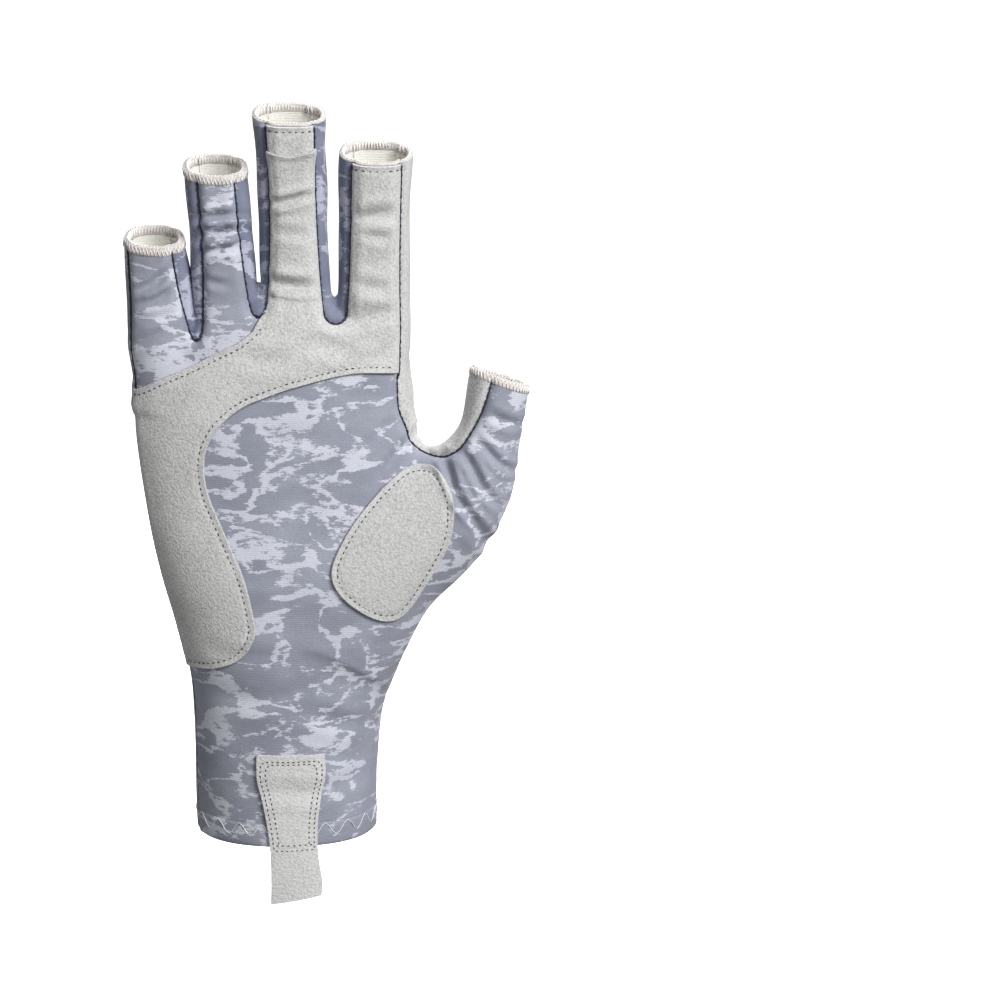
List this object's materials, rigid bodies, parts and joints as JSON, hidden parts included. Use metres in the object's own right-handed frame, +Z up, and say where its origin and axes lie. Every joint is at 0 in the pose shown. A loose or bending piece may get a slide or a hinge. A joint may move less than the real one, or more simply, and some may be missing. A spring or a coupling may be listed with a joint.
{
  "type": "fishing glove",
  "caption": "Fingerless sun and fishing glove for the right hand in camouflage knit, with suede grips on palm, thumb, index and middle finger and a pull tab at the cuff",
  "frame": {"origin": "the middle of the wrist opening, in the plane of the cuff's edge, where the wrist comes out", "axes": "+Z runs up the hand to the fingertips, -Y is the palm side, +X is the thumb side"},
  "size_m": [0.1333, 0.0487, 0.2644],
  "materials": {
    "knit_print": "matt printed polyester knit, grey camouflage",
    "knit_gusset": "matt printed polyester knit, darker",
    "suede": "matt synthetic suede",
    "hem_thread": "matt cover stitch and overlock thread",
    "seam_thread": "matt dark sewing thread",
    "knit_inside": "matt unprinted back of the knit"
  },
  "bodies": {
    "root": {"palm_panel": "knit_print", "back_panel": "knit_print", "gusset_little_ring": "knit_gusset", "gusset_ring_middle": "knit_gusset", "gusset_middle_index": "knit_gusset", "web_strip": "suede", "palm_patch": "suede", "middle_tip_band": "suede", "thumb_pad": "suede", "pull_tab": "suede", "cuff_hem": "knit_print", "little_tip_hem": "hem_thread", "ring_tip_hem": "hem_thread", "middle_tip_hem": "hem_thread", "index_tip_hem": "hem_thread", "thumb_tip_hem": "hem_thread"}
  },
  "joints": []
}
